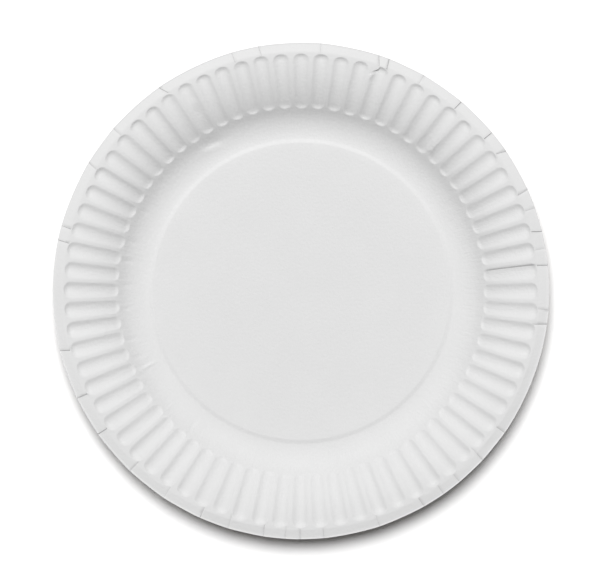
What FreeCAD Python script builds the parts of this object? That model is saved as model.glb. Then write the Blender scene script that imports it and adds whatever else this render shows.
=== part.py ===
import FreeCAD, Part

import math
import os

from FreeCAD import Vector

# A round paper plate, pressed from one disc of paperboard.
# Lengths are millimetres and angles are degrees. The origin is the plate's centre,
# on the surface that its foot ring stands on, with +Z up.

# The sheet, from its cut edge inwards
plate_diameter = 230.0
board_thickness = 0.4
lip_length = 4.2
lip_slope = 15.0
fold_radius = 1.6
shoulder_radius = 36.8
cove_radius = 16.2
wall_slope = 45.0
foot_width = 1.5
panel_lift = 0.7
step_bend = 1.0
step_slope = 20.0

# The flutes pressed into the shoulder: round scoops in the top face, with a ridge between
# neighbours, that stop short of both ends of the shoulder
flute_count = 72
scoop_radius = 7.0
inner_ridge = 1.15
outer_ridge = 1.55
inner_margin = 0.6
outer_margin = 0.4
scoop_runs = 3
run_out_slope = 25.0

# Working lengths, larger than what they have to clear
run_out_length = 8.0
rib_room = 4.0
angle_slack = 1e-6

up = Vector(0, 0, 1)
origin = Vector(0, 0, 0)
half_pitch = 180.0 / flute_count


def sine(angle):
    return math.sin(math.radians(angle))


def cosine(angle):
    return math.cos(math.radians(angle))


# Radii of the underside where one stretch of the section meets the next
edge_radius = plate_diameter / 2 - board_thickness * sine(lip_slope)
crest_radius = edge_radius - lip_length * cosine(lip_slope) - fold_radius * sine(lip_slope)
wall_radius = crest_radius - shoulder_radius * sine(wall_slope)
foot_radius = wall_radius - cove_radius * sine(wall_slope)
step_face = (panel_lift - 2 * step_bend * (1 - cosine(step_slope))) / sine(step_slope)
step_width = 2 * step_bend * sine(step_slope) + step_face * cosine(step_slope)
panel_radius = foot_radius - foot_width - step_width
crest_height = (cove_radius + shoulder_radius) * (1 - cosine(wall_slope))

# The section of the underside from the axis to the edge.
# A stretch is its name, its length or radius, and its turn: up is positive.
section = (
    ("panel", panel_radius, 0),
    ("step down", step_bend, -step_slope),
    ("step face", step_face, 0),
    ("step out", step_bend, step_slope),
    ("foot", foot_width, 0),
    ("cove", cove_radius, wall_slope),
    ("shoulder", shoulder_radius, -wall_slope),
    ("fold", fold_radius, -lip_slope),
    ("lip", lip_length, 0),
)


def section_edges(lift):
    """The edges of one face of the sheet by name, lift above the underside, and its two ends."""
    at = Vector(0, 0, panel_lift + lift)
    start = at
    heading = 0.0
    edges = {}
    for name, size, turn in section:
        ahead = Vector(cosine(heading), 0, sine(heading))
        if turn == 0:
            to = at + ahead * size
            edges[name] = Part.LineSegment(at, to).toShape()
        else:
            side = math.copysign(1, turn)
            radius = size - side * lift
            centre = at + Vector(-ahead.z, 0, ahead.x) * side * radius
            stops = (heading + turn / 2, heading + turn)
            middle, to = [centre + Vector(sine(a), 0, -cosine(a)) * side * radius for a in stops]
            edges[name] = Part.Arc(at, middle, to).toShape()
        heading += turn
        at = to
    return edges, start, at


def wedge(edges):
    """One flute pitch of a solid of revolution, turned evenly about the +X direction."""
    face = Part.Face(Part.Wire(Part.__sortEdges__(edges)))
    face.rotate(origin, up, -half_pitch)
    return face.revolve(origin, up, 2 * half_pitch)


def plain_wedge(under, over):
    """One pitch of the sheet before its flute is pressed."""
    under_edges, under_start, under_end = under
    over_edges, over_start, over_end = over
    cut_edge = Part.LineSegment(under_end, over_end).toShape()
    axis = Part.LineSegment(under_start, over_start).toShape()
    return wedge(list(under_edges.values()) + list(over_edges.values()) + [cut_edge, axis])


def room_under(edge):
    """One pitch of the room under a stretch of the sheet's top face, where a rib can be."""
    inner, outer = sorted((vertex.Point for vertex in edge.Vertexes), key=lambda point: point.x)
    down = up * rib_room
    corners = [outer, outer - down, inner - down, inner]
    walls = [Part.LineSegment(a, b).toShape() for a, b in zip(corners, corners[1:])]
    return wedge([edge] + walls)


def scoop_depth(radius_from_axis, ridge):
    """Depth of a scoop that leaves a ridge of this width between it and the next one."""
    half_width = (2 * radius_from_axis * sine(half_pitch) - ridge) / 2
    return scoop_radius - math.sqrt(scoop_radius**2 - half_width**2)


def scoop_bottom():
    """The deepest line of a scoop, from the well outwards: it follows the shoulder, then runs out."""
    top_radius = shoulder_radius + board_thickness
    centre = Vector(crest_radius, 0, crest_height - shoulder_radius)
    inner_depth = scoop_depth(wall_radius, inner_ridge)
    outer_depth = scoop_depth(crest_radius, outer_ridge)
    rise = math.tan(math.radians(run_out_slope))

    def turn_of(length):
        return math.degrees(length / top_radius)

    def at(angle, depth):
        return centre + Vector(-sine(angle), 0, cosine(angle)) * (top_radius - depth)

    def run_out(end, angle, outwards):
        slope = angle * outwards + run_out_slope
        return end + Vector(outwards * cosine(slope), 0, sine(slope)) * run_out_length

    first = wall_slope - turn_of(inner_margin + inner_depth / rise)
    last = turn_of(outer_margin + outer_depth / rise)
    line = []
    for step in range(scoop_runs + 1):
        share = step / scoop_runs
        depth = inner_depth + (outer_depth - inner_depth) * share
        line.append(at(first + (last - first) * share, depth))
    return [run_out(line[0], first, -1)] + line + [run_out(line[-1], last, 1)]


def parallel(line, distance):
    """A line of straight runs in the XZ plane, moved up square to each run, with mitred bends."""
    runs = [(there - here).normalize() for here, there in zip(line, line[1:])]
    sides = [Vector(-run.z, 0, run.x) for run in runs]
    mitres = [(a + b) / (1 + a.dot(b)) for a, b in zip(sides, sides[1:])]
    moves = [sides[0]] + mitres + [sides[-1]]
    return [point + move * distance for point, move in zip(line, moves)]


def scoop(radius):
    """The path of a round pressing tool as a solid. A larger radius follows the same middle line."""
    line = parallel(scoop_bottom(), scoop_radius)
    disc = Part.Wire(Part.Circle(line[0], line[1] - line[0], radius).toShape())
    mitred = 1
    return Part.makePolygon(line).makePipeShell([disc], True, False, mitred)


def fluted_wedge():
    """One pitch of the plate: the sheet with one flute, of the same thickness all over."""
    under = section_edges(0)
    over = section_edges(board_thickness)
    rib = scoop(scoop_radius + board_thickness).common(room_under(over[0]["shoulder"]))
    return plain_wedge(under, over).fuse(rib).cut(scoop(scoop_radius))


def on_cut(face):
    """True for the two flat faces where the wedge was cut out of the plate."""
    middle = face.CenterOfMass
    turn = abs(math.degrees(math.atan2(middle.y, middle.x)))
    return abs(turn - half_pitch) < angle_slack


def paper_plate():
    """The whole plate: the skin of one pitch, repeated round the axis and closed."""
    skin = [face for face in fluted_wedge().Faces if not on_cut(face)]
    faces = []
    for turn in range(flute_count):
        for face in skin:
            copy = face.copy()
            copy.rotate(origin, up, turn * 2 * half_pitch)
            faces.append(copy)
    shell = Part.makeShell(faces)
    shell.sewShape()
    return Part.makeSolid(shell).removeSplitter()


os.makedirs("parts", exist_ok=True)
plate = paper_plate()
plate.exportStep("parts/paper_plate.step")
height = crest_height + board_thickness
print(f"panel radius {panel_radius:.2f}, foot from {foot_radius - foot_width:.2f} to {foot_radius:.2f}")
print(f"wall from {wall_radius:.2f}, crest at {crest_radius:.2f}, height {height:.2f}")
print(f"volume {plate.Volume:.0f} mm3 in {len(plate.Faces)} faces")
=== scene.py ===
# %% [markdown]
# A fluted paper plate
#
# A paper plate is one disc of board, pressed hot between two steel dies. Everything that the eye
# reads on it comes from that press: the level panel, the smooth wall, the ring of flutes, and the
# fine creases where the rim had more paper than room. So it is built here as one sheet whose height
# is worked out point by point, and not as parts put together.

# %% The frame
import bpy
import math

import numpy as np
from mathutils import Matrix, Vector


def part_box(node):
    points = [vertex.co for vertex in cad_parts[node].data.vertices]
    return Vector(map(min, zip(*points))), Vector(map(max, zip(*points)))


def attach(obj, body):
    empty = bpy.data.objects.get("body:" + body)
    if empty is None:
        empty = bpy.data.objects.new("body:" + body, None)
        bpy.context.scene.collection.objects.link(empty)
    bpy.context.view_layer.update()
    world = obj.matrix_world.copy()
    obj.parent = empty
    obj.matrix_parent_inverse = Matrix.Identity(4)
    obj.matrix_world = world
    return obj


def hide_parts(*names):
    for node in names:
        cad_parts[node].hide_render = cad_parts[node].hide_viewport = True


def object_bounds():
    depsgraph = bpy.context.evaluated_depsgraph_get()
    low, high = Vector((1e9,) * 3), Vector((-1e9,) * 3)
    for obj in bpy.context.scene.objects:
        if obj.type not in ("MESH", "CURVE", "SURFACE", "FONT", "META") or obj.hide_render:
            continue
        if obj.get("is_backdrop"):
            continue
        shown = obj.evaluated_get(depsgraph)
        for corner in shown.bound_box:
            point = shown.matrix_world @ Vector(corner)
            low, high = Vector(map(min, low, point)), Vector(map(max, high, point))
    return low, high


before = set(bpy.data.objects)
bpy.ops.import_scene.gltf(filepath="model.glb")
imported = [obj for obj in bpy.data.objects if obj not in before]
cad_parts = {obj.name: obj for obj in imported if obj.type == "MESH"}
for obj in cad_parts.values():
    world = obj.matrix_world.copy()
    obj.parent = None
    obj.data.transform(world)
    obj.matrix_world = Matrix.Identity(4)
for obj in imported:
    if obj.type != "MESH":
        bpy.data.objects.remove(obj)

SCENE = bpy.context.scene
CAD_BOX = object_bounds()
low_corner, high_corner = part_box("paper_plate")
PLATE_RADIUS = (high_corner.x - low_corner.x) / 2
PLATE_HEIGHT = high_corner.z - low_corner.z
print(f"the frame's plate is {PLATE_RADIUS * 2000:.1f} mm across and {PLATE_HEIGHT * 1000:.1f} mm high")

# %% [markdown]
# The section
#
# Cut the plate through its middle and you see one thin line: level panel, small step, level foot,
# a cove turning up, a shoulder turning back to level, and a lip that slopes down. A turtle that
# walks this line with straight runs and arcs gives it exactly. The walk below is for the top face,
# so the arcs that bulge upwards are one board thickness larger, and the hollow ones smaller.

# %% Walking the section
# Lengths are millimetres and angles are degrees, up to where the mesh is made.
MM = 0.001
BOARD = 0.4
EDGE_RADIUS = PLATE_RADIUS / MM
LIP_LENGTH = 4.2
LIP_SLOPE = 13.0
FOLD_RADIUS = 1.6
SHOULDER_RADIUS = 36.8
COVE_RADIUS = 16.2
WALL_SLOPE = 45.0
FOOT_WIDTH = 1.5
PANEL_LIFT = 0.7
STEP_BEND = 1.0
STEP_SLOPE = 20.0


def sine(angle):
    return math.sin(math.radians(angle))


def cosine(angle):
    return math.cos(math.radians(angle))


STEP_FACE = (PANEL_LIFT - 2 * STEP_BEND * (1 - cosine(STEP_SLOPE))) / sine(STEP_SLOPE)
STEP_WIDTH = 2 * STEP_BEND * sine(STEP_SLOPE) + STEP_FACE * cosine(STEP_SLOPE)
LIP_REACH = (BOARD + FOLD_RADIUS) * sine(LIP_SLOPE) + LIP_LENGTH * cosine(LIP_SLOPE)
CREST_RADIUS = EDGE_RADIUS - LIP_REACH
WALL_RADIUS = CREST_RADIUS - SHOULDER_RADIUS * sine(WALL_SLOPE)
FOOT_RADIUS = WALL_RADIUS - COVE_RADIUS * sine(WALL_SLOPE)
PANEL_RADIUS = FOOT_RADIUS - FOOT_WIDTH - STEP_WIDTH

STRETCHES = (
    (PANEL_RADIUS, 0),
    (STEP_BEND, -STEP_SLOPE),
    (STEP_FACE, 0),
    (STEP_BEND, STEP_SLOPE),
    (FOOT_WIDTH, 0),
    (COVE_RADIUS, WALL_SLOPE),
    (SHOULDER_RADIUS, -WALL_SLOPE),
    (FOLD_RADIUS, -LIP_SLOPE),
    (LIP_LENGTH, 0),
)


def walk_top_face(stretches, arc_points=60):
    """Radius, height and slope in degrees along the top face, from the axis to the edge."""
    radius, height, heading = 0.0, PANEL_LIFT + BOARD, 0.0
    track = [(radius, height, heading)]
    for size, turn in stretches:
        if turn == 0:
            radius += size * cosine(heading)
            height += size * sine(heading)
            track.append((radius, height, heading))
            continue
        side = math.copysign(1, turn)
        arc = size - side * BOARD
        for share in np.linspace(0, 1, arc_points)[1:]:
            slope = heading + turn * share
            across = side * arc * (sine(slope) - sine(heading))
            rise = side * arc * (cosine(heading) - cosine(slope))
            track.append((radius + across, height + rise, slope))
        radius, height, heading = track[-1]
    return np.array(track).T


TRACK_RADIUS, TRACK_HEIGHT, TRACK_SLOPE = walk_top_face(STRETCHES)


def sheet_height(radius):
    return np.interp(radius, TRACK_RADIUS, TRACK_HEIGHT)


def sheet_slope(radius):
    return np.radians(np.interp(radius, TRACK_RADIUS, TRACK_SLOPE))


print(f"crest at {CREST_RADIUS:.1f} mm, {TRACK_HEIGHT.max():.2f} mm high; edge {TRACK_RADIUS[-1]:.2f} mm out")

# %% [markdown]
# The grid that follows the flutes
#
# A plain polar grid would cut the round flute ends into stairs. Here the rings of the grid bend
# instead: they run round each flute's ends, and the columns run down its sides, so that every
# flute outline is a line of the mesh. That is what keeps it crisp with few faces. The rings stand
# close together at the outlines and far apart where the sheet is smooth.

# %% Columns
FLUTES = 72
PITCH = 360 / FLUTES
HALF_FLUTE = 2.2
FLUTE_TURN = -0.15
FLUTE_SHARES = (0.0, 0.28, 0.54, 0.74, 0.87, 1.0)
RIDGE_SHARES = (0.5, 1.0)


def half_pitch_columns():
    """Angles from a flute's middle to the middle of the ridge beside it."""
    ridge = PITCH / 2 - HALF_FLUTE
    flute_side = [HALF_FLUTE * share for share in FLUTE_SHARES]
    return flute_side + [HALF_FLUTE + ridge * share for share in RIDGE_SHARES]


def all_columns():
    """Angle from the flute's middle, and flute number, for each column round the plate."""
    half = half_pitch_columns()
    pitch = [-angle for angle in half[:0:-1]] + half[:-1]
    offsets = np.tile(pitch, FLUTES)
    numbers = np.repeat(np.arange(FLUTES), len(pitch))
    return offsets, numbers


OFFSET, FLUTE = all_columns()
COLUMNS = len(OFFSET)
ANGLE = np.radians(FLUTE * PITCH + OFFSET + FLUTE_TURN)
print(f"{COLUMNS} columns, {COLUMNS // FLUTES} to a flute")

# %% [markdown]
# No two flutes are quite alike
#
# Pressed board springs back a little differently everywhere. A seeded random draw gives each
# flute its own depth and lets its ends wander by a fraction of a millimetre, which the eye takes
# as paper rather than plastic.

# %% Flute outlines
SEED = 72
FLUTE_INNER = 85.1
FLUTE_OUTER = 109.9
INNER_ROUND = 2.7
OUTER_ROUND = 3.7
BLUNTNESS = 2.1
END_WANDER = 0.16
LEAST_OUTER_WANDER, MOST_OUTER_WANDER = -0.3, 0.2
DEPTH_WANDER = 0.06
LEAN_WANDER = 0.06
RIDGE_FROM = HALF_FLUTE * 0.999
SMOOTHINGS = 3

draw = np.random.default_rng(SEED)
inner_end = FLUTE_INNER + draw.normal(0, END_WANDER, FLUTES)
outer_wander = draw.normal(0, END_WANDER, FLUTES).clip(LEAST_OUTER_WANDER, MOST_OUTER_WANDER)
outer_end = FLUTE_OUTER + outer_wander
depth_share = 1 + draw.normal(0, DEPTH_WANDER, FLUTES)
lean = draw.normal(0, LEAN_WANDER, FLUTES)

ACROSS = np.clip(OFFSET / HALF_FLUTE, -1, 1)
END_CURVE = 1 - (1 - np.abs(ACROSS) ** BLUNTNESS) ** (1 / BLUNTNESS)
outline_in = inner_end[FLUTE] + INNER_ROUND * END_CURVE
outline_out = outer_end[FLUTE] - OUTER_ROUND * END_CURVE


def meet_at_ridges(outline):
    """Ridge columns take the mean of themselves and their neighbours, so that the rings join softly."""
    level = outline.copy()
    ridge = np.abs(OFFSET) > RIDGE_FROM
    for _ in range(SMOOTHINGS):
        smooth = (np.roll(level, 1) + np.roll(level, -1) + level) / 3
        level[ridge] = smooth[ridge]
    return level


outline_in = meet_at_ridges(outline_in)
outline_out = meet_at_ridges(outline_out)
print(f"flutes run from {outline_in.min():.1f} to {outline_out.max():.1f} mm out")

# %% Rings
NEAR_OUTLINE = (0.0, 0.3, 0.75, 1.35, 2.2, 3.2)
LONG_STEPS = 7
INNER_GAP = 0.22
OUTER_GAP = 0.9 * INNER_GAP
COVE_SHARES = (0.0, 0.12, 0.24, 0.36, 0.48, 0.60, 0.72, 0.84, 0.94, 1.0)
CREST_SHARES = (0.0, 0.5)
FOLD_STOPS = (0.0, 0.22, 0.44, 0.7)
LIP_SHARES = (0.15, 0.38, 0.62, 0.84, 0.94, 1.0)


def flute_rings():
    """Rings from the flutes' inner ends to their outer ends, closer together near the ends."""
    rings = [outline_in + step for step in NEAR_OUTLINE]
    first, last = rings[-1], outline_out - NEAR_OUTLINE[-1]
    for step in range(1, LONG_STEPS):
        rings.append(first + (last - first) * step / LONG_STEPS)
    rings += [outline_out - step for step in reversed(NEAR_OUTLINE)]
    return rings


def between(start, end, shares):
    """Rings part of the way from one ring to another."""
    return [start + (end - start) * share for share in shares]


def round_ring(radius):
    return np.full(COLUMNS, radius)


cove_rings = between(round_ring(FOOT_RADIUS), outline_in - INNER_GAP, COVE_SHARES)
outer_rings = between(outline_out + OUTER_GAP, round_ring(CREST_RADIUS), CREST_SHARES)
fold_rings = [round_ring(CREST_RADIUS + stop) for stop in FOLD_STOPS]
lip_rings = between(fold_rings[-1], round_ring(TRACK_RADIUS[-1]), LIP_SHARES)
RINGS = np.array(cove_rings + flute_rings() + outer_rings + fold_rings + lip_rings)
FIRST_LIP_RING = len(RINGS) - len(LIP_SHARES) - len(FOLD_STOPS)
print(f"{len(RINGS)} fine rings, {len(RINGS) * COLUMNS * 2} triangles to a face")

# %% [markdown]
# Creases, and why they are narrow
#
# A flat disc has too much paper at its rim once it is pressed into a dish, and the spare paper
# gathers in fine radial creases. A crease is a third of a millimetre wide, less than the space
# between columns. So the nearest column moves onto the crease, and its two neighbours close in on
# it: three columns make a sharp groove anywhere, with no extra faces.

# %% The crease list
# Each crease: degrees clockwise from the right-hand side, depth in mm, and slant in degrees per mm.
LIP_CREASES = (
    (4.5, 0.12, 0.0), (8.0, 0.26, -0.07), (34.9, 0.18, 0.0), (42.9, 0.18, 0.05), (50.3, 0.14, 0.0),
    (54.9, 0.14, 0.0), (60.3, 0.18, -0.04), (71.5, 0.12, 0.0), (84.6, 0.14, 0.0), (90.1, 0.18, 0.0),
    (93.5, 0.10, 0.0), (98.7, 0.18, 0.0), (107.0, 0.10, 0.0), (113.9, 0.16, 0.0), (123.5, 0.10, 0.0),
    (133.4, 0.16, 0.0), (144.6, 0.38, 0.03), (154.2, 0.32, 0.03), (165.8, 0.42, 0.13), (191.7, 0.26, 0.06),
    (195.1, 0.26, 0.06), (210.9, 0.12, 0.10), (220.8, 0.10, 0.0), (235.5, 0.26, -0.27), (253.9, 0.16, -0.03),
    (260.3, 0.14, -0.08), (274.7, 0.10, -0.04), (288.8, 0.22, -0.18), (291.1, 0.30, -0.07),
    (299.8, 0.10, 0.0), (310.4, 0.44, 0.03), (320.5, 0.44, 0.0), (325.6, 0.26, 0.17), (336.2, 0.22, -0.07),
    (340.6, 0.12, 0.0), (346.1, 0.42, 0.11), (350.3, 0.10, 0.0), (354.1, 0.44, 0.05),
)
# Creases that run on down a flute: clockwise degrees, inner and outer radius, depth.
FLUTE_CREASES = ((353.75, 87.0, 108.8, 0.18),)
CREASE_HALF = 0.17
CREASE_MIDDLE = 113.0


def turn_gap(a, b):
    """The smaller angle from b to a, with its sign."""
    return (a - b + math.pi) % (2 * math.pi) - math.pi


even = np.arange(COLUMNS) * 2 * math.pi / COLUMNS + ANGLE[0]
ring_angle = np.tile(ANGLE, (len(RINGS), 1))
ring_angle[FIRST_LIP_RING - 1] = (ANGLE + even) / 2
ring_angle[FIRST_LIP_RING:] = even
ring_middle = RINGS.mean(axis=1)


def fold_in(rings, clock, slant=0.0):
    """Bring three columns together along a crease over some of the rings. Returns the middle one."""
    target = -math.radians(clock)
    column = int(np.abs(turn_gap(ring_angle[rings[1]], target)).argmin())
    for ring in rings:
        at = target - math.radians(slant) * (ring_middle[ring] - CREASE_MIDDLE)
        half = CREASE_HALF / ring_middle[ring]
        for step in (-1, 0, 1):
            ring_angle[ring, (column + step) % COLUMNS] = at + step * half
    return column


lip_span = range(FIRST_LIP_RING - 1, len(RINGS))
folded = [fold_in(lip_span, clock, slant) for clock, depth, slant in LIP_CREASES]
crease_columns = np.array(sorted(folded))
for clock, inner, outer, depth in FLUTE_CREASES:
    fold_in([ring for ring in range(len(RINGS)) if inner < ring_middle[ring] < outer], clock)
print(f"{len(LIP_CREASES)} creases across the lip, {len(FLUTE_CREASES)} down a flute")

# %% [markdown]
# Pushing the sheet about
#
# Every mark on the plate is now a function of angle and radius that says how far the sheet moves.
# The flutes are the largest: round across like a gutter, and rising quickly at the two ends. The
# creases are a sharp groove with a soft hollow on both sides. Dents are small hills and hollows, and
# the rings draw together where they are, so that even a narrow one is made of several faces.

# %% Flutes
DEPTH_INNER = 0.76
DEPTH_OUTER = 1.40
INNER_END = 1.35
OUTER_END = 2.4
STEEPEST = 0.79
HOLLOW_POWER = 2.1
END_POWER = 2.0


def gutter(across):
    """Depth share across a flute, from 1 in the middle to 0 at its side.

    It is hollow as far as the steepest place, and from there a bulging arc with the same slope.
    """
    side = np.abs(across)
    at_steepest = STEEPEST**HOLLOW_POWER
    bulge = HOLLOW_POWER * at_steepest / STEEPEST * (1 - STEEPEST) / 2
    hollow = 1 - side**HOLLOW_POWER / (at_steepest + bulge)
    shoulder = bulge / (at_steepest + bulge) * ((1 - side) / (1 - STEEPEST)) ** 2
    return np.where(side < STEEPEST, hollow, shoulder)


def flute_depth(ring_radius):
    """How deep the flutes press each point of one ring."""
    way = (ring_radius - FLUTE_INNER) / (FLUTE_OUTER - FLUTE_INNER)
    deepest = DEPTH_INNER + (DEPTH_OUTER - DEPTH_INNER) * way
    across = np.clip((OFFSET - lean[FLUTE] * (1 - np.abs(ACROSS))) / HALF_FLUTE, -1, 1)
    rise = 1.0
    for inside in ((ring_radius - outline_in) / INNER_END, (outline_out - ring_radius) / OUTER_END):
        rise = rise * (1 - (1 - np.clip(inside, 0, 1)) ** END_POWER)
    return deepest * depth_share[FLUTE] * gutter(across) * rise


print(f"flutes {DEPTH_INNER} mm deep at the inner end and {DEPTH_OUTER} mm at the outer end")

# %% Creases
FLANK = 1.5
FLANK_SHARE = 0.30
GROOVE_REACH = CREASE_HALF * 1.1
CREASE_START = 0.2
CREASE_FADE_IN = 0.2
CREASE_FADE_OUT = 0.8
PAST_THE_EDGE = 1.0
# Crease depth at which the shade painted into the groove is full.
FULL_CREASE_SHADE = 0.3


def crease_marks(angle, radius):
    """Depth of all creases at each point in mm, and a mask that is 1 in the sharp groove, where shade is
    painted into the colour.
    """
    depth = np.zeros_like(radius)
    mask = np.zeros_like(radius)
    start = RINGS[FIRST_LIP_RING - 1] - CREASE_START
    end = EDGE_RADIUS + PAST_THE_EDGE
    creases = [(clock, start, end, amount, slant) for clock, amount, slant in LIP_CREASES]
    creases += [(clock, inner, outer, amount, 0.0) for clock, inner, outer, amount in FLUTE_CREASES]
    for clock, inner, outer, amount, slant in creases:
        line = -math.radians(clock) - math.radians(slant) * (radius - CREASE_MIDDLE)
        beside = np.abs(turn_gap(angle, line)) * radius
        fade_in = np.clip((radius - inner) / CREASE_FADE_IN, 0, 1)
        fade_out = np.clip((outer - radius) / CREASE_FADE_OUT, 0, 1)
        along = fade_in * fade_out
        groove = np.clip(1 - beside / GROOVE_REACH, 0, 1)
        flank = np.exp(-beside / FLANK) * FLANK_SHARE
        depth += amount * (groove + flank) * along
        # The mask marks the groove where shade is painted into the colour.
        mask = np.maximum(mask, groove * along * min(1.0, amount / FULL_CREASE_SHADE))
    return depth, mask


deepest_crease = max(depth for clock, depth, slant in LIP_CREASES)
print(f"grooves {2 * CREASE_HALF:.2f} mm wide and up to {deepest_crease} mm deep")

# %% Dents and wrinkles
# Each dent: clockwise degrees, radius, half width across, half length along the radius,
# turn in degrees, and height. A negative height is a hollow.
DENTS = (
    (288.4, 106.3, 1.7, 0.60, -40, -0.20), (288.4, 105.1, 1.7, 0.60, -40, 0.40),
    (288.5, 104.0, 1.6, 0.55, -40, -0.30), (289.6, 108.6, 1.2, 0.7, 0, -0.25),
    (235.8, 108.6, 1.3, 0.7, 20, -0.28), (236.4, 107.4, 1.1, 0.6, 25, 0.20),
    (254.4, 108.0, 0.8, 0.9, 0, 0.30), (255.2, 106.9, 1.0, 0.7, 30, -0.24),
    (240.2, 98.0, 1.4, 0.55, 20, 0.32), (240.4, 96.9, 1.4, 0.55, 15, -0.30),
    (275.0, 107.9, 0.8, 1.0, 0, -0.28), (313.0, 93.4, 1.3, 0.50, -43, 0.42),
    (313.0, 92.6, 1.3, 0.45, -43, -0.30), (313.2, 91.9, 1.3, 0.50, -43, 0.42),
    (313.2, 91.1, 1.3, 0.45, -43, -0.30), (313.1, 89.5, 1.4, 0.60, -43, 0.40),
    (313.1, 88.5, 1.3, 0.55, -43, -0.26), (238.4, 80.8, 6.5, 1.6, 8, -0.60),
    (238.4, 78.4, 6.0, 1.0, 10, 0.24), (234.6, 81.8, 1.4, 1.8, -30, 0.22),
    (20.5, 112.6, 4.5, 1.8, 0, -0.16), (28.0, 112.8, 3.4, 1.6, 0, 0.10),
    (39.0, 112.9, 3.6, 1.6, 0, -0.14), (46.6, 112.7, 2.8, 1.5, 0, 0.10),
    (57.5, 112.8, 3.2, 1.5, 0, 0.10),
)
# Narrow wrinkles that run up the wall, in the same six values.
WALL_WRINKLES = (
    (153.8, 80.4, 0.6, 4.2, -4, 0.36), (154.9, 80.8, 1.0, 3.4, -4, -0.24), (129.0, 80.5, 1.0, 2.6, -5, -0.20),
    (158.0, 81.7, 0.7, 2.0, 10, -0.24), (164.1, 83.2, 0.7, 2.4, 5, -0.32), (174.2, 82.0, 0.7, 1.8, 0, -0.26),
    (182.0, 81.6, 0.7, 1.9, 0, -0.24), (189.8, 82.2, 0.8, 2.4, 6, -0.40), (196.2, 82.4, 0.8, 2.2, 4, -0.32),
    (191.2, 82.2, 0.7, 2.0, 6, 0.18), (207.0, 82.0, 0.7, 1.8, 0, -0.24), (218.0, 82.4, 0.7, 2.0, 8, -0.26),
)
# Where dents lie close together: clockwise degrees and radius.
CRUMPLES = ((288.5, 105.0), (240.2, 97.4), (313.1, 91.4), (238.2, 79.3))
RING_PULL, RING_REACH, CRUMPLE_WIDTH = 0.8, 3.0, 5.0
COLUMN_PULL, COLUMN_REACH = 0.6, 2.0


def gather(rings, angle):
    """Draw rings together at the crumples and columns at the wrinkles, so the mesh is fine there."""
    for clock, out in CRUMPLES:
        across = turn_gap(angle, -math.radians(clock)) * out
        gap = rings - out
        pull = RING_PULL * np.exp(-((across / CRUMPLE_WIDTH) ** 2) - (gap / RING_REACH) ** 2)
        rings = rings - gap * pull
    for clock, out, wide, long, turn, amount in WALL_WRINKLES:
        gap = turn_gap(angle, -math.radians(clock))
        pull = COLUMN_PULL * np.exp(-((gap * out / COLUMN_REACH) ** 2) - ((rings - out) / long) ** 2)
        angle = angle - gap * pull
    return rings, angle


RINGS, ring_angle = gather(RINGS, ring_angle)


def dent_height(angle, radius):
    """How far the dents and wrinkles raise each point, in mm."""
    height = np.zeros_like(radius)
    for clock, out, wide, long, turn, amount in DENTS + WALL_WRINKLES:
        across = turn_gap(angle, -math.radians(clock)) * radius
        along = radius - out
        x = across * cosine(turn) + along * sine(turn)
        y = along * cosine(turn) - across * sine(turn)
        height += amount * np.exp(-((x / wide) ** 2) - (y / long) ** 2)
    return height


print(f"{len(DENTS)} dents and {len(WALL_WRINKLES)} wrinkles")

# %% Waves in the rim
RIM_WAVE = 0.45
WAVE_REACH = 30.0
TILT_SPREAD = 1.8
TILT_START = 0.2
EDGE_BAND = 0.5
EDGE_CURL = 0.24
CURL_POWER = 1.5
CHORD_SHARE = 0.6
CHORD_LIMIT = 0.35
NICK_SHARE = 0.4
PULL_REACH = 5.0

wave_turns = np.arange(3, 15)
wave_starts = draw.uniform(0, 2 * math.pi, len(wave_turns))
wave_sizes = draw.normal(0, 1, len(wave_turns)) / wave_turns
piece_tilt = draw.normal(0, TILT_SPREAD, len(crease_columns))


def slow_wave(angle):
    """A gentle wave round the plate, never above 1."""
    each = zip(wave_turns, wave_starts, wave_sizes)
    waves = [size * np.sin(turns * angle + start) for turns, start, size in each]
    return sum(waves) / np.abs(wave_sizes).sum()


def lip_pieces():
    """For each column: the lip piece it lies in, how far along it is from 0 to 1, and its sagitta."""
    column = np.arange(COLUMNS)
    piece = np.searchsorted(crease_columns, column, side="right") % len(crease_columns)
    first, last = crease_columns[piece - 1], crease_columns[piece]
    span = (last - first) % COLUMNS
    share = (column - first) % COLUMNS / span
    sagitta = EDGE_RADIUS * (1 - np.cos(span * math.pi / COLUMNS))
    return piece, share, np.minimum(sagitta, CHORD_LIMIT)


PIECE, PIECE_SHARE, SAGITTA = lip_pieces()
WAVE_TOP = slow_wave(ANGLE).max()


def rim_height(angle, radius):
    """How far the rim moves up, in mm.

    Each piece of lip between two creases tilts on its own, the whole rim dips in slow waves, and
    the cut edge curls up a little.
    """
    past_the_crest = np.clip(radius - CREST_RADIUS - TILT_START, 0, None)
    tilt = np.tan(np.radians(piece_tilt[PIECE])) * past_the_crest
    wave = (slow_wave(angle) - WAVE_TOP) * RIM_WAVE * np.clip((radius - FLUTE_INNER) / WAVE_REACH, 0, 1)
    near_the_edge = np.clip((radius - TRACK_RADIUS[-1] + EDGE_BAND) / EDGE_BAND, 0, 1)
    return tilt + wave + EDGE_CURL * near_the_edge**CURL_POWER


def rim_pull(radius, crease_depth):
    """How far the edge is drawn in: a straight run between creases, and a nick at each."""
    chord = CHORD_SHARE * SAGITTA * 4 * PIECE_SHARE * (1 - PIECE_SHARE)
    return (chord + NICK_SHARE * crease_depth) * np.clip((radius - CREST_RADIUS) / PULL_REACH, 0, 1)


print(f"{len(piece_tilt)} pieces of lip, tilted by up to {np.abs(piece_tilt).max():.1f} degrees")

# %% [markdown]
# From numbers to a mesh
#
# The panel is flat, so it needs few columns: every fourth one goes on inwards, and the level foot,
# where nothing shows, holds the faces that change from fine to coarse. The underside is the top
# moved by the board's thickness, square to the section, and a narrow strip closes the cut edge.

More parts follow.
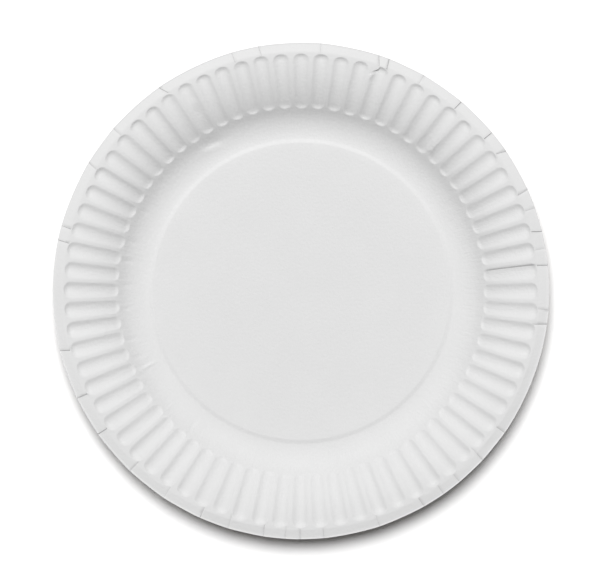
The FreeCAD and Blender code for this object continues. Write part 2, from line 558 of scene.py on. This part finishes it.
# %% The top face
COARSE = 4
PANEL_STOPS = (12.0, 26.0, 40.0, 52.0, 61.0, 66.5)
STEP_RINGS = 9
coarse_angle = ANGLE[::COARSE]


def place(angle, radius, depth, lift):
    """Points in mm: pressed square to the section by depth, then raised by lift."""
    slope = sheet_slope(radius)
    out = radius + depth * np.sin(slope)
    height = sheet_height(radius) - depth * np.cos(slope) + lift
    return np.stack([out * np.cos(angle), out * np.sin(angle), height], axis=-1), slope


def fine_points():
    """Points, section slopes and crease mask of the fine rings."""
    groove, mask = crease_marks(ring_angle, RINGS)
    pressed = np.array([flute_depth(ring) for ring in RINGS])
    lift = dent_height(ring_angle, RINGS) + rim_height(ring_angle, RINGS) - groove
    points, slope = place(ring_angle, RINGS - rim_pull(RINGS, groove), pressed, lift)
    return points, slope, mask


def coarse_points():
    """Points of the foot's inner edge, the step and the panel, from the outside in."""
    step_stops = np.linspace(FOOT_RADIUS - FOOT_WIDTH, PANEL_RADIUS, STEP_RINGS)
    stops = list(step_stops) + list(PANEL_STOPS[::-1])
    radius = np.repeat(np.array(stops)[:, None], len(coarse_angle), axis=1)
    angle = np.tile(coarse_angle, (len(stops), 1))
    return place(angle, radius, 0.0, 0.0)


fine, fine_slope, crease_mask = fine_points()
coarse, coarse_slope = coarse_points()
print(f"fine rings {fine.shape[:2]}, coarse rings {coarse.shape[:2]}, top at {fine[..., 2].max():.2f} mm")

# %% Faces
PANEL_TOP = PANEL_LIFT + BOARD


def band(inner, outer, columns):
    """Quads between two rings of one level, each ring given by the number of its first point."""
    faces = []
    for column in range(columns):
        beside = (column + 1) % columns
        faces.append((inner + column, outer + column, outer + beside, inner + beside))
    return faces


def face_points(drop):
    """All points of one face of the sheet, drop below the top face in mm."""
    layers = []
    for points, slope in ((fine, fine_slope), (coarse, coarse_slope)):
        flat = points.reshape(-1, 3).copy()
        lean_in = np.sin(slope).reshape(-1)
        level = np.cos(slope).reshape(-1)
        far = np.hypot(flat[:, 0], flat[:, 1])
        flat[:, 0] += drop * lean_in * flat[:, 0] / far
        flat[:, 1] += drop * lean_in * flat[:, 1] / far
        flat[:, 2] -= drop * level
        layers.append(flat)
    layers.append(np.array([[0, 0, PANEL_TOP - drop]]))
    return np.concatenate(layers)


def face_polygons():
    """The polygons of the top face, numbered from 0, with their normals up."""
    rings, columns = fine.shape[:2]
    small_rings, small = coarse.shape[:2]
    start = rings * columns
    faces = []
    for ring in range(rings - 1):
        inner = ring * columns
        faces += band(inner, inner + columns, columns)
    for column in range(small):
        beside = (column + 1) % small
        outer = [(column * COARSE + step) % columns for step in range(COARSE + 1)]
        faces.append((start + column, *outer, start + beside))
    for ring in range(small_rings - 1):
        outer = start + ring * small
        faces += band(outer + small, outer, small)
    last = start + (small_rings - 1) * small
    centre = start + small_rings * small
    for column in range(small):
        faces.append((centre, last + column, last + (column + 1) % small))
    return faces


top_points = face_points(0.0)
under_points = face_points(BOARD)
top_faces = face_polygons()
under_faces = [tuple(len(top_points) + corner for corner in face[::-1]) for face in top_faces]
print(f"{len(top_faces)} faces on each side of the sheet")

# %% The cut edge
edge_ring = (fine.shape[0] - 1) * COLUMNS
edge_top = [edge_ring + column for column in range(COLUMNS)]
edge_under = [len(top_points) + corner for corner in edge_top]
edge_faces = []
for column in range(COLUMNS):
    beside = (column + 1) % COLUMNS
    edge_faces.append((edge_top[column], edge_under[column], edge_under[beside], edge_top[beside]))

all_points = np.concatenate([top_points, under_points]) * MM
all_faces = top_faces + under_faces + edge_faces
mesh = bpy.data.meshes.new("pressed_plate")
mesh.from_pydata(all_points.tolist(), [], all_faces)
mesh.validate()
plate = bpy.data.objects.new("pressed_plate", mesh)
SCENE.collection.objects.link(plate)
triangles = sum(len(polygon.vertices) - 2 for polygon in mesh.polygons)
print(f"{len(mesh.vertices)} points, {len(mesh.polygons)} faces, {triangles} triangles")

# %% Smooth faces, sharp cut edge, and three finishes
SHARP_ANGLE = 55
TOP_SLOT, UNDER_SLOT, EDGE_SLOT = 0, 1, 2
face_counts = (len(top_faces), len(under_faces), len(edge_faces))
slots = np.repeat((TOP_SLOT, UNDER_SLOT, EDGE_SLOT), face_counts)
mesh.polygons.foreach_set("material_index", slots)
mesh.shade_smooth()
mesh.set_sharp_from_angle(angle=math.radians(SHARP_ANGLE))
# The crease value says where shade is painted into the colour.
crease_layer = mesh.attributes.new("crease", "FLOAT", "POINT")
pad = np.zeros(len(top_points) - crease_mask.size)
one_face = np.concatenate([crease_mask.reshape(-1), pad])
crease_layer.data.foreach_set("value", np.concatenate([one_face, one_face]))
mesh.update()

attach(plate, "root")
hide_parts("paper_plate")
print("the plate rides on the root body and stands for the CAD solid")

# %% [markdown]
# What white board looks like
#
# Uncoated board isn't one flat white. It is a felt of pressed fibres: fine pits that catch the
# light at a low angle, short hairs of fibre lying every way, and a slow cloudiness where the pulp
# was thicker. One node group makes these once, and each finish takes it with its own strengths.

# %% The board grain group
def new_group(name, inputs, outputs):
    """A shader node group with float inputs and outputs, and its two end nodes."""
    group = bpy.data.node_groups.new(name, "ShaderNodeTree")
    for label, value in inputs:
        socket = group.interface.new_socket(label, in_out="INPUT", socket_type="NodeSocketFloat")
        socket.default_value = value
    for label in outputs:
        group.interface.new_socket(label, in_out="OUTPUT", socket_type="NodeSocketFloat")
    start = group.nodes.new("NodeGroupInput")
    end = group.nodes.new("NodeGroupOutput")
    return group, start, end


def maths(tree, operation, *values):
    """A Math node; each input is a number or a socket."""
    node = tree.nodes.new("ShaderNodeMath")
    node.operation = operation
    for socket, value in zip(node.inputs, values):
        if isinstance(value, (int, float)):
            socket.default_value = value
        else:
            tree.links.new(value, socket)
    return node.outputs[0]


def noise(tree, place, scale, detail=2.0, stretch=(1, 1, 1), turn=0.0):
    """A noise value about 0.5, stretched and turned in the plane of the sheet."""
    mapping = tree.nodes.new("ShaderNodeMapping")
    mapping.inputs["Scale"].default_value = stretch
    mapping.inputs["Rotation"].default_value = (0, 0, math.radians(turn))
    tree.links.new(place, mapping.inputs["Vector"])
    texture = tree.nodes.new("ShaderNodeTexNoise")
    texture.inputs["Detail"].default_value = detail
    texture.inputs["Scale"].default_value = scale
    tree.links.new(mapping.outputs["Vector"], texture.inputs["Vector"])
    return texture.outputs["Fac"]


GRAIN_SCALE = 1900
FELT_SCALE = 750
FIBRE_SCALE = 900
CLOUD_SCALE = 42
FIBRE_TURNS = (12, 58, 101, 149)
FIBRE_STRETCH = (0.16, 1, 1)
NOISE_MIDDLE = 0.5
FINE_SHARE = 0.5
FELT_SHARE = 1.5
SPECK_SHARE = 0.35


def board_grain():
    """Tone about 0 and height about 1 of pressed fibre."""
    strengths = [("Fibre", 1.0), ("Cloud", 1.0)]
    group, start, end = new_group("board grain", strengths, ["Tone", "Height"])
    place = group.nodes.new("ShaderNodeTexCoord").outputs["Object"]
    grain = noise(group, place, GRAIN_SCALE, detail=3.0)
    felt = noise(group, place, FELT_SCALE, detail=2.0)
    cloud = noise(group, place, CLOUD_SCALE, detail=4.0)
    fibre = 0.0
    for turn in FIBRE_TURNS:
        hair = noise(group, place, FIBRE_SCALE, detail=1.0, stretch=FIBRE_STRETCH, turn=turn)
        fibre = maths(group, "MAXIMUM", fibre, hair)
    fibre = maths(group, "MULTIPLY", fibre, start.outputs["Fibre"])
    fine = maths(group, "MULTIPLY", maths(group, "ADD", grain, fibre), FINE_SHARE)
    height = maths(group, "ADD", fine, maths(group, "MULTIPLY", felt, FELT_SHARE))
    off_middle = maths(group, "SUBTRACT", cloud, NOISE_MIDDLE)
    cloudy = maths(group, "MULTIPLY", off_middle, start.outputs["Cloud"])
    speck = maths(group, "MULTIPLY", maths(group, "SUBTRACT", grain, NOISE_MIDDLE), SPECK_SHARE)
    group.links.new(maths(group, "ADD", cloudy, speck), end.inputs["Tone"])
    group.links.new(height, end.inputs["Height"])
    return group


GRAIN = board_grain()
print("board grain group:", [item.name for item in GRAIN.interface.items_tree])

# %% [markdown]
# Where the press squeezed the board
#
# The wall had to become narrower as it rose, so its board was squeezed sideways and shows many fine
# wrinkles that all run up the wall. They need the plate's own polar coordinates: the direction from
# the axis, which gives the place round the plate, and the distance from it. Noise that is fine in
# the first and long in the second makes strokes that point at the centre.

# %% The press wrinkles group
STROKE_WIDTH = 1.3
STROKE_LENGTH = 6.0
STROKE_RADIUS = 82.0
STROKES_BEGIN = (73.0, 80.0)
STROKES_FADE = (96.0, 111.0)
# Radii where the painted light on the lip begins.
LIP_BEGINS = (109.5, 111.5)


def rise_between(tree, radius, radii):
    """A smooth step from 0 to 1 between two radii in mm."""
    step = tree.nodes.new("ShaderNodeMapRange")
    step.interpolation_type = "SMOOTHSTEP"
    step.inputs["From Min"].default_value = radii[0] * MM
    step.inputs["From Max"].default_value = radii[1] * MM
    tree.links.new(radius, step.inputs["Value"])
    return step.outputs["Result"]


def press_wrinkles():
    """Height of fine radial strokes on the wall, and a mask that is 1 on the lip, where light is painted into
    the colour.
    """
    group, start, end = new_group("press wrinkles", [], ["Height", "Lip light"])
    place = group.nodes.new("ShaderNodeTexCoord").outputs["Object"]
    level = group.nodes.new("ShaderNodeVectorMath")
    level.operation = "MULTIPLY"
    level.inputs[1].default_value = (1, 1, 0)
    group.links.new(place, level.inputs[0])
    length = group.nodes.new("ShaderNodeVectorMath")
    length.operation = "LENGTH"
    group.links.new(level.outputs["Vector"], length.inputs[0])
    radius = length.outputs["Value"]
    direction = group.nodes.new("ShaderNodeVectorMath")
    direction.operation = "NORMALIZE"
    group.links.new(level.outputs["Vector"], direction.inputs[0])
    parts = group.nodes.new("ShaderNodeSeparateXYZ")
    group.links.new(direction.outputs["Vector"], parts.inputs[0])
    polar = group.nodes.new("ShaderNodeCombineXYZ")
    round_scale = STROKE_RADIUS / STROKE_WIDTH
    group.links.new(maths(group, "MULTIPLY", parts.outputs["X"], round_scale), polar.inputs["X"])
    group.links.new(maths(group, "MULTIPLY", parts.outputs["Y"], round_scale), polar.inputs["Y"])
    group.links.new(maths(group, "MULTIPLY", radius, 1 / (STROKE_LENGTH * MM)), polar.inputs["Z"])
    strokes = noise(group, polar.outputs["Vector"], 1.0, detail=2.0)
    fade_out = maths(group, "SUBTRACT", 1.0, rise_between(group, radius, STROKES_FADE))
    mask = maths(group, "MULTIPLY", rise_between(group, radius, STROKES_BEGIN), fade_out)
    group.links.new(maths(group, "MULTIPLY", strokes, mask), end.inputs["Height"])
    group.links.new(rise_between(group, radius, LIP_BEGINS), end.inputs["Lip light"])
    return group


WRINKLES = press_wrinkles()
print("press wrinkles group:", [item.name for item in WRINKLES.interface.items_tree])

# %% [markdown]
# Shade painted into the creases
#
# The creases are darkened in the colour: painted shade, a thin grey line where the fold's groove lies in
# shadow. The mesh carries a value named crease, 1 in the groove and 0 elsewhere. A second group turns it
# into a darkening, ragged along its length.

# %% The crease painted shade group
RAGGED_SCALE = 1400
RAGGED_SPREAD = 0.9
RAGGED_LEAST = 0.45


def crease_painted_shade():
    """How much of the colour is left after the painted crease shade, from 1 down to 1 minus its depth."""
    group, start, end = new_group("crease painted shade", [("Depth", 0.3)], ["Left"])
    groove = group.nodes.new("ShaderNodeAttribute")
    groove.attribute_name = "crease"
    place = group.nodes.new("ShaderNodeTexCoord").outputs["Object"]
    spread = maths(group, "MULTIPLY", noise(group, place, RAGGED_SCALE), RAGGED_SPREAD)
    ragged = maths(group, "ADD", spread, RAGGED_LEAST)
    groove_shade = maths(group, "MULTIPLY", groove.outputs["Fac"], ragged)
    painted_crease_shade = maths(group, "MULTIPLY", groove_shade, start.outputs["Depth"])
    group.links.new(maths(group, "SUBTRACT", 1.0, painted_crease_shade), end.inputs["Left"])
    return group


CREASE_SHADE_GROUP = crease_painted_shade()
print("crease painted shade group:", [item.name for item in CREASE_SHADE_GROUP.interface.items_tree])

# %% [markdown]
# Three finishes from one board
#
# The food side is calendered, so it is the smoothest. The underside is left rougher and a touch
# warmer. The cut edge is bare fibre, rougher still and a little lighter. Each has the same three
# parts: a base colour that the grain and the painted crease shade multiply, a rough matt surface,
# and a fine bump. The lip's colour is painted a little lighter than the rest: painted light.

# %% Board material
# How much lighter the lip's colour is made: painted light.
LIP_PAINTED_LIGHT = 0.035
SHINE = 0.15
ROUGHER_GRAIN = 0.12


def board_material(name, colour, fibre, cloud, tone, bump, wrinkle, roughness, painted_crease_shade):
    """A matt board finish. The groups vary its colour, its roughness and its bump."""
    material = bpy.data.materials.new(name)
    material.use_nodes = True
    tree = material.node_tree
    surface = tree.nodes["Principled BSDF"]
    surface.inputs["Specular IOR Level"].default_value = SHINE
    grain = tree.nodes.new("ShaderNodeGroup")
    grain.node_tree = GRAIN
    grain.inputs["Fibre"].default_value = fibre
    grain.inputs["Cloud"].default_value = cloud
    crease_shade_node = tree.nodes.new("ShaderNodeGroup")
    crease_shade_node.node_tree = CREASE_SHADE_GROUP
    crease_shade_node.inputs["Depth"].default_value = painted_crease_shade
    shade = maths(tree, "MULTIPLY_ADD", grain.outputs["Tone"], tone, 1.0)
    # Painted shade: the creases darken the colour.
    shade = maths(tree, "MULTIPLY", shade, crease_shade_node.outputs["Left"])
    strokes = tree.nodes.new("ShaderNodeGroup")
    strokes.node_tree = WRINKLES
    # Painted light: the lip's colour is made lighter.
    lip_light = maths(tree, "MULTIPLY_ADD", strokes.outputs["Lip light"], LIP_PAINTED_LIGHT, 1.0)
    shade = maths(tree, "MULTIPLY", shade, lip_light)
    tint = tree.nodes.new("ShaderNodeVectorMath")
    tint.operation = "SCALE"
    tint.inputs[0].default_value = colour
    tree.links.new(shade, tint.inputs["Scale"])
    tree.links.new(tint.outputs["Vector"], surface.inputs["Base Color"])
    rough = maths(tree, "MULTIPLY_ADD", grain.outputs["Height"], ROUGHER_GRAIN, roughness)
    tree.links.new(rough, surface.inputs["Roughness"])
    pressed = maths(tree, "MULTIPLY", strokes.outputs["Height"], wrinkle)
    height = maths(tree, "MULTIPLY_ADD", grain.outputs["Height"], bump, pressed)
    relief = tree.nodes.new("ShaderNodeBump")
    relief.inputs["Strength"].default_value = 1.0
    relief.inputs["Distance"].default_value = MM
    tree.links.new(height, relief.inputs["Height"])
    tree.links.new(relief.outputs["Normal"], surface.inputs["Normal"])
    return material


FOOD_SIDE = board_material(
    "smooth white board", colour=(0.76, 0.76, 0.76), fibre=1.0, cloud=1.0, tone=0.05,
    bump=0.085, wrinkle=0.16, roughness=0.70, painted_crease_shade=0.60,
)
UNDERSIDE = board_material(
    "rough white board", colour=(0.75, 0.745, 0.735), fibre=1.3, cloud=1.4, tone=0.09,
    bump=0.12, wrinkle=0.22, roughness=0.80, painted_crease_shade=0.40,
)
CUT_EDGE = board_material(
    "cut board edge", colour=(0.80, 0.80, 0.795), fibre=1.2, cloud=1.0, tone=0.10,
    bump=0.08, wrinkle=0.0, roughness=0.85, painted_crease_shade=0.30,
)
for material in (FOOD_SIDE, UNDERSIDE, CUT_EDGE):
    mesh.materials.append(material)
print("finishes:", [material.name for material in mesh.materials])

# %% [markdown]
# A white floor that keeps the shadow
#
# The photograph's ground is pure white, yet the plate's shadow falls on it. A floor that gives its
# own light would wash the shadow out. Instead the floor is a plain diffuse surface for the light,
# and only the camera sees it a little lighter, by just enough to reach white where nothing shades it.

# %% Floor
FLOOR_REACH = 4.0
FLOOR_SIDES = 96
FLOOR_COLOUR = (0.62, 0.585, 0.56, 1)
FLOOR_SEEN = (1.18, 1.18, 1.18, 1)


def seen_by_camera(tree):
    """1 for rays from the camera, in mirrors and through glass, and 0 for the light's own bounces."""
    path = tree.nodes.new("ShaderNodeLightPath")
    seen = maths(tree, "MAXIMUM", path.outputs["Is Camera Ray"], path.outputs["Is Glossy Ray"])
    return maths(tree, "MAXIMUM", seen, path.outputs["Is Transmission Ray"])


def floor_material():
    material = bpy.data.materials.new("white ground")
    material.use_nodes = True
    tree = material.node_tree
    surface = tree.nodes["Principled BSDF"]
    surface.inputs["Roughness"].default_value = 1.0
    surface.inputs["Specular IOR Level"].default_value = 0.0
    mix = tree.nodes.new("ShaderNodeMix")
    mix.data_type = "RGBA"
    colours = {"A": FLOOR_COLOUR, "B": FLOOR_SEEN}
    for socket in mix.inputs:
        if socket.type == "RGBA":
            socket.default_value = colours[socket.name]
    tree.links.new(seen_by_camera(tree), mix.inputs["Factor"])
    result = next(socket for socket in mix.outputs if socket.type == "RGBA")
    tree.links.new(result, surface.inputs["Base Color"])
    return material


floor_mesh = bpy.data.meshes.new("ground")
turns = [2 * math.pi * side / FLOOR_SIDES for side in range(FLOOR_SIDES)]
corners = [(FLOOR_REACH * math.cos(turn), FLOOR_REACH * math.sin(turn), 0) for turn in turns]
floor_mesh.from_pydata(corners, [], [range(FLOOR_SIDES)])
floor = bpy.data.objects.new("ground", floor_mesh)
floor_mesh.materials.append(floor_material())
SCENE.collection.objects.link(floor)
floor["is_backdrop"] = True
print(f"floor {2 * FLOOR_REACH:.0f} m across")

# %% [markdown]
# Light from the top of the picture
#
# The far wall of the dish is darkest and the near wall brightest, so the light comes from beyond
# the plate, high up. The shadow lies just below and right of the rim, soft at its outer side: that
# is a large lamp, a little left of twelve o'clock. An even, faint sky fills the rest, and the camera
# alone sees it white.

# %% Light
LAMP_CLOCK = 262
LAMP_HEIGHT = 70.6
LAMP_WIDTH = 31
LAMP_DISTANCE = 3.6
LAMP_LEVEL = 3.00
SKY_STRENGTH = 0.08

lamp_data = bpy.data.lights.new("large lamp", "AREA")
lamp_data.shape = "DISK"
lamp_data.size = 2 * LAMP_DISTANCE * math.tan(math.radians(LAMP_WIDTH / 2))
lamp_data.energy = LAMP_LEVEL * math.pi * LAMP_DISTANCE**2 / cosine(LAMP_WIDTH / 2) ** 2
lamp = bpy.data.objects.new("large lamp", lamp_data)
level = cosine(LAMP_HEIGHT)
lamp_way = Vector((cosine(LAMP_CLOCK) * level, -sine(LAMP_CLOCK) * level, sine(LAMP_HEIGHT)))
lamp.location = lamp_way * LAMP_DISTANCE
lamp.rotation_euler = lamp_way.to_track_quat("Z", "Y").to_euler()
SCENE.collection.objects.link(lamp)

world = bpy.data.worlds.new("pale sky")
world.use_nodes = True
SCENE.world = world
sky = world.node_tree.nodes["Background"]
sky.inputs["Color"].default_value = (1, 1, 1, 1)
seen = seen_by_camera(world.node_tree)
strength = maths(world.node_tree, "MULTIPLY_ADD", seen, 1 - SKY_STRENGTH, SKY_STRENGTH)
world.node_tree.links.new(strength, sky.inputs["Strength"])
print(f"lamp {LAMP_HEIGHT} degrees high, sky {SKY_STRENGTH}")

# %% [markdown]
# The camera
#
# The photograph looks straight down, from just right of the plate's middle and below it: the panel,
# which lies deeper than the rim, is shifted that way by under a pixel. A long lens keeps the rim
# round.

# %% Camera
IMAGE_WIDTH, IMAGE_HEIGHT = 600, 582
PHOTO_CENTRE = (300.6, 290.5)
PHOTO_RADIUS = 248.4
CAMERA_HEIGHT = 1.5
CAMERA_ASIDE = (0.030, -0.030)
RIM_DROP = 0.0015
FARTHEST_SEEN = 50

camera_data = bpy.data.cameras.new("camera")
camera = bpy.data.objects.new("camera", camera_data)
rim_centre = Vector((0, 0, PLATE_HEIGHT - RIM_DROP))
camera.location = Vector((*CAMERA_ASIDE, CAMERA_HEIGHT))
away = camera.location - rim_centre
right = Vector((0, 1, 0)).cross(away).normalized()
upward = away.cross(right).normalized()
camera.rotation_euler = Matrix((right, upward, away.normalized())).transposed().to_euler()
frame_width = PLATE_RADIUS * IMAGE_WIDTH / PHOTO_RADIUS
camera_data.lens = camera_data.sensor_width * away.length / frame_width
camera_data.shift_x = (IMAGE_WIDTH / 2 - PHOTO_CENTRE[0]) / IMAGE_WIDTH
camera_data.shift_y = (PHOTO_CENTRE[1] - IMAGE_HEIGHT / 2) / IMAGE_WIDTH
camera_data.clip_end = FARTHEST_SEEN
SCENE.collection.objects.link(camera)
SCENE.camera = camera
SCENE.view_settings.view_transform = "Standard"
print(f"lens {camera_data.lens:.0f} mm from {away.length:.2f} m")

# %% [markdown]
# The sizes
#
# The size that the CAD model gave and the size of the looks are printed side by side.

# %% Size and finish
VISUAL_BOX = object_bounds()
for name, box in (("CAD", CAD_BOX), ("visual", VISUAL_BOX)):
    size = [round((top - bottom) * 1000, 2) for bottom, top in zip(*box)]
    print(f"{name} box {size} mm")
